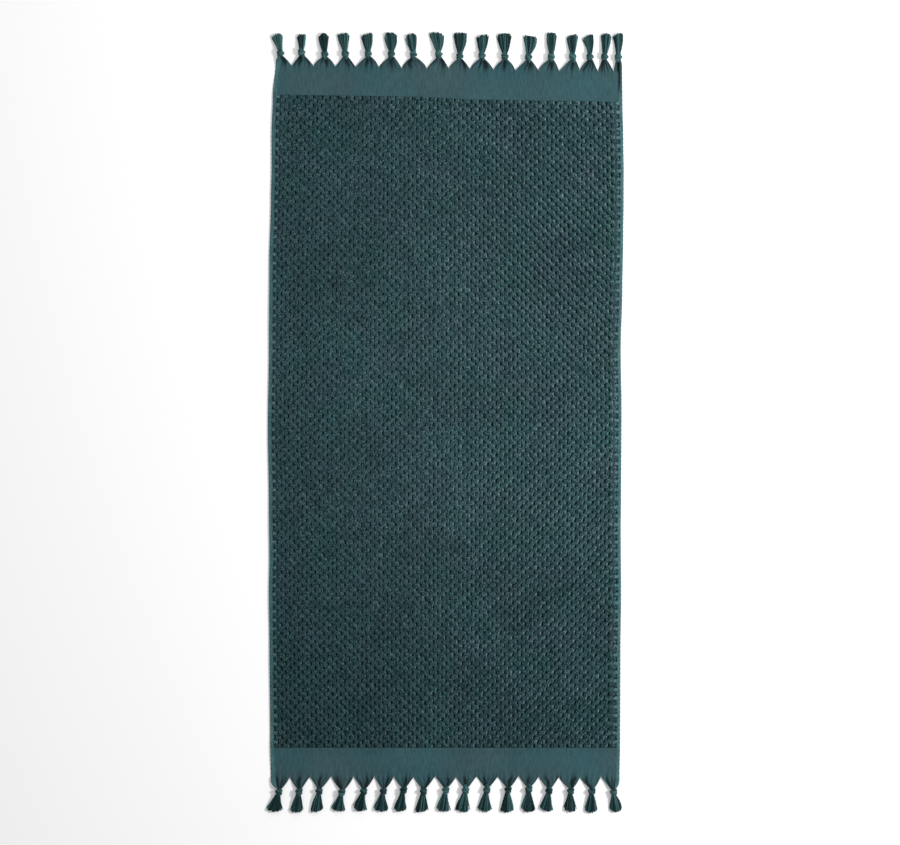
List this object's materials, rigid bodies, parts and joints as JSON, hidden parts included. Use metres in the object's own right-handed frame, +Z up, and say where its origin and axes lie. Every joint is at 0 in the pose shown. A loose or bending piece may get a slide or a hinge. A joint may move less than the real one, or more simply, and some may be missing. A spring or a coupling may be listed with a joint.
{
  "type": "bath towel",
  "caption": "Rectangular terry bath towel with raised pile tufts, flat-woven end bands and selvedges, and a knotted tassel fringe at both ends; it folds across its width.",
  "frame": {"origin": "on the surface the towel lies on, under the middle of the towel", "axes": "+Y along the towel's length towards the head end, +X across its width, +Z up from the surface it lies on"},
  "size_m": [0.7044, 1.561, 0.012],
  "materials": {
    "terry_pile": "deep teal cotton terry, raised tufts in a brick pattern, matt",
    "flat_weave": "lighter teal cotton plain weave with fine ribs along the warp",
    "selvedge_weave": "lighter teal cotton plain weave, narrow woven edge",
    "tassel_yarn": "teal plied cotton yarn, knotted and cut"
  },
  "bodies": {
    "foot_half": {"terry_field_foot": "terry_pile", "end_band_foot": "flat_weave", "selvedge_left_foot": "selvedge_weave", "selvedge_right_foot": "selvedge_weave"},
    "head_half": {"terry_field_head": "terry_pile", "end_band_head": "flat_weave", "selvedge_left_head": "selvedge_weave", "selvedge_right_head": "selvedge_weave"},
    "tassel_head_01": {"tassel_head_01": "tassel_yarn"},
    "tassel_head_02": {"tassel_head_02": "tassel_yarn"},
    "tassel_head_03": {"tassel_head_03": "tassel_yarn"},
    "tassel_head_04": {"tassel_head_04": "tassel_yarn"},
    "tassel_head_05": {"tassel_head_05": "tassel_yarn"},
    "tassel_head_06": {"tassel_head_06": "tassel_yarn"},
    "tassel_head_07": {"tassel_head_07": "tassel_yarn"},
    "tassel_head_08": {"tassel_head_08": "tassel_yarn"},
    "tassel_head_09": {"tassel_head_09": "tassel_yarn"},
    "tassel_head_10": {"tassel_head_10": "tassel_yarn"},
    "tassel_head_11": {"tassel_head_11": "tassel_yarn"},
    "tassel_head_12": {"tassel_head_12": "tassel_yarn"},
    "tassel_head_13": {"tassel_head_13": "tassel_yarn"},
    "tassel_head_14": {"tassel_head_14": "tassel_yarn"},
    "tassel_head_15": {"tassel_head_15": "tassel_yarn"},
    "tassel_head_16": {"tassel_head_16": "tassel_yarn"},
    "tassel_head_17": {"tassel_head_17": "tassel_yarn"},
    "tassel_foot_01": {"tassel_foot_01": "tassel_yarn"},
    "tassel_foot_02": {"tassel_foot_02": "tassel_yarn"},
    "tassel_foot_03": {"tassel_foot_03": "tassel_yarn"},
    "tassel_foot_04": {"tassel_foot_04": "tassel_yarn"},
    "tassel_foot_05": {"tassel_foot_05": "tassel_yarn"},
    "tassel_foot_06": {"tassel_foot_06": "tassel_yarn"},
    "tassel_foot_07": {"tassel_foot_07": "tassel_yarn"},
    "tassel_foot_08": {"tassel_foot_08": "tassel_yarn"},
    "tassel_foot_09": {"tassel_foot_09": "tassel_yarn"},
    "tassel_foot_10": {"tassel_foot_10": "tassel_yarn"},
    "tassel_foot_11": {"tassel_foot_11": "tassel_yarn"},
    "tassel_foot_12": {"tassel_foot_12": "tassel_yarn"},
    "tassel_foot_13": {"tassel_foot_13": "tassel_yarn"},
    "tassel_foot_14": {"tassel_foot_14": "tassel_yarn"},
    "tassel_foot_15": {"tassel_foot_15": "tassel_yarn"},
    "tassel_foot_16": {"tassel_foot_16": "tassel_yarn"},
    "tassel_foot_17": {"tassel_foot_17": "tassel_yarn"}
  },
  "joints": [
    {"name": "fold_across_width", "type": "hinge", "parent": "foot_half", "child": "head_half", "pos_m": [0, 0.035, 0.0085], "axis": [1, 0, 0], "range_deg": [0, 179.8]},
    {"name": "swing_head_01", "type": "hinge", "parent": "head_half", "child": "tassel_head_01", "pos_m": [-0.329, 0.73411, 0.003], "axis": [0, 0, 1], "range_deg": [-12, 12]},
    {"name": "swing_head_02", "type": "hinge", "parent": "head_half", "child": "tassel_head_02", "pos_m": [-0.287, 0.73333, 0.003], "axis": [0, 0, 1], "range_deg": [-12, 12]},
    {"name": "swing_head_03", "type": "hinge", "parent": "head_half", "child": "tassel_head_03", "pos_m": [-0.241, 0.73248, 0.003], "axis": [0, 0, 1], "range_deg": [-12, 12]},
    {"name": "swing_head_04", "type": "hinge", "parent": "head_half", "child": "tassel_head_04", "pos_m": [-0.2, 0.73171, 0.003], "axis": [0, 0, 1], "range_deg": [-12, 12]},
    {"name": "swing_head_05", "type": "hinge", "parent": "head_half", "child": "tassel_head_05", "pos_m": [-0.154, 0.73086, 0.003], "axis": [0, 0, 1], "range_deg": [-12, 12]},
    {"name": "swing_head_06", "type": "hinge", "parent": "head_half", "child": "tassel_head_06", "pos_m": [-0.108, 0.73001, 0.003], "axis": [0, 0, 1], "range_deg": [-12, 12]},
    {"name": "swing_head_07", "type": "hinge", "parent": "head_half", "child": "tassel_head_07", "pos_m": [-0.064, 0.72919, 0.003], "axis": [0, 0, 1], "range_deg": [-12, 12]},
    {"name": "swing_head_08", "type": "hinge", "parent": "head_half", "child": "tassel_head_08", "pos_m": [-0.013, 0.72824, 0.003], "axis": [0, 0, 1], "range_deg": [-12, 12]},
    {"name": "swing_head_09", "type": "hinge", "parent": "head_half", "child": "tassel_head_09", "pos_m": [0.028, 0.72748, 0.003], "axis": [0, 0, 1], "range_deg": [-12, 12]},
    {"name": "swing_head_10", "type": "hinge", "parent": "head_half", "child": "tassel_head_10", "pos_m": [0.072, 0.72666, 0.003], "axis": [0, 0, 1], "range_deg": [-12, 12]},
    {"name": "swing_head_11", "type": "hinge", "parent": "head_half", "child": "tassel_head_11", "pos_m": [0.118, 0.72581, 0.003], "axis": [0, 0, 1], "range_deg": [-12, 12]},
    {"name": "swing_head_12", "type": "hinge", "parent": "head_half", "child": "tassel_head_12", "pos_m": [0.165, 0.72494, 0.003], "axis": [0, 0, 1], "range_deg": [-12, 12]},
    {"name": "swing_head_13", "type": "hinge", "parent": "head_half", "child": "tassel_head_13", "pos_m": [0.21, 0.7241, 0.003], "axis": [0, 0, 1], "range_deg": [-12, 12]},
    {"name": "swing_head_14", "type": "hinge", "parent": "head_half", "child": "tassel_head_14", "pos_m": [0.253, 0.7233, 0.003], "axis": [0, 0, 1], "range_deg": [-10, 12]},
    {"name": "swing_head_15", "type": "hinge", "parent": "head_half", "child": "tassel_head_15", "pos_m": [0.288, 0.72265, 0.003], "axis": [0, 0, 1], "range_deg": [-12, 10]},
    {"name": "swing_head_16", "type": "hinge", "parent": "head_half", "child": "tassel_head_16", "pos_m": [0.316, 0.72213, 0.003], "axis": [0, 0, 1], "range_deg": [0, 12]},
    {"name": "swing_head_17", "type": "hinge", "parent": "head_half", "child": "tassel_head_17", "pos_m": [0.344, 0.72161, 0.003], "axis": [0, 0, 1], "range_deg": [-12, 0]},
    {"name": "swing_foot_01", "type": "hinge", "parent": "foot_half", "child": "tassel_foot_01", "pos_m": [-0.332, -0.728, 0.003], "axis": [0, 0, 1], "range_deg": [-12, 12]},
    {"name": "swing_foot_02", "type": "hinge", "parent": "foot_half", "child": "tassel_foot_02", "pos_m": [-0.292, -0.728, 0.003], "axis": [0, 0, 1], "range_deg": [-12, 12]},
    {"name": "swing_foot_03", "type": "hinge", "parent": "foot_half", "child": "tassel_foot_03", "pos_m": [-0.252, -0.728, 0.003], "axis": [0, 0, 1], "range_deg": [-12, 12]},
    {"name": "swing_foot_04", "type": "hinge", "parent": "foot_half", "child": "tassel_foot_04", "pos_m": [-0.206, -0.728, 0.003], "axis": [0, 0, 1], "range_deg": [-12, 12]},
    {"name": "swing_foot_05", "type": "hinge", "parent": "foot_half", "child": "tassel_foot_05", "pos_m": [-0.163, -0.728, 0.003], "axis": [0, 0, 1], "range_deg": [-12, 12]},
    {"name": "swing_foot_06", "type": "hinge", "parent": "foot_half", "child": "tassel_foot_06", "pos_m": [-0.124, -0.728, 0.003], "axis": [0, 0, 1], "range_deg": [-12, 12]},
    {"name": "swing_foot_07", "type": "hinge", "parent": "foot_half", "child": "tassel_foot_07", "pos_m": [-0.084, -0.728, 0.003], "axis": [0, 0, 1], "range_deg": [-12, 12]},
    {"name": "swing_foot_08", "type": "hinge", "parent": "foot_half", "child": "tassel_foot_08", "pos_m": [-0.044, -0.728, 0.003], "axis": [0, 0, 1], "range_deg": [-12, 12]},
    {"name": "swing_foot_09", "type": "hinge", "parent": "foot_half", "child": "tassel_foot_09", "pos_m": [0, -0.728, 0.003], "axis": [0, 0, 1], "range_deg": [-12, 12]},
    {"name": "swing_foot_10", "type": "hinge", "parent": "foot_half", "child": "tassel_foot_10", "pos_m": [0.04, -0.728, 0.003], "axis": [0, 0, 1], "range_deg": [-12, 12]},
    {"name": "swing_foot_11", "type": "hinge", "parent": "foot_half", "child": "tassel_foot_11", "pos_m": [0.082, -0.728, 0.003], "axis": [0, 0, 1], "range_deg": [-12, 12]},
    {"name": "swing_foot_12", "type": "hinge", "parent": "foot_half", "child": "tassel_foot_12", "pos_m": [0.124, -0.728, 0.003], "axis": [0, 0, 1], "range_deg": [-12, 12]},
    {"name": "swing_foot_13", "type": "hinge", "parent": "foot_half", "child": "tassel_foot_13", "pos_m": [0.165, -0.728, 0.003], "axis": [0, 0, 1], "range_deg": [-12, 12]},
    {"name": "swing_foot_14", "type": "hinge", "parent": "foot_half", "child": "tassel_foot_14", "pos_m": [0.206, -0.728, 0.003], "axis": [0, 0, 1], "range_deg": [-12, 12]},
    {"name": "swing_foot_15", "type": "hinge", "parent": "foot_half", "child": "tassel_foot_15", "pos_m": [0.249, -0.728, 0.003], "axis": [0, 0, 1], "range_deg": [-12, 12]},
    {"name": "swing_foot_16", "type": "hinge", "parent": "foot_half", "child": "tassel_foot_16", "pos_m": [0.291, -0.728, 0.003], "axis": [0, 0, 1], "range_deg": [-12, 12]},
    {"name": "swing_foot_17", "type": "hinge", "parent": "foot_half", "child": "tassel_foot_17", "pos_m": [0.333, -0.728, 0.003], "axis": [0, 0, 1], "range_deg": [-12, 12]}
  ]
}
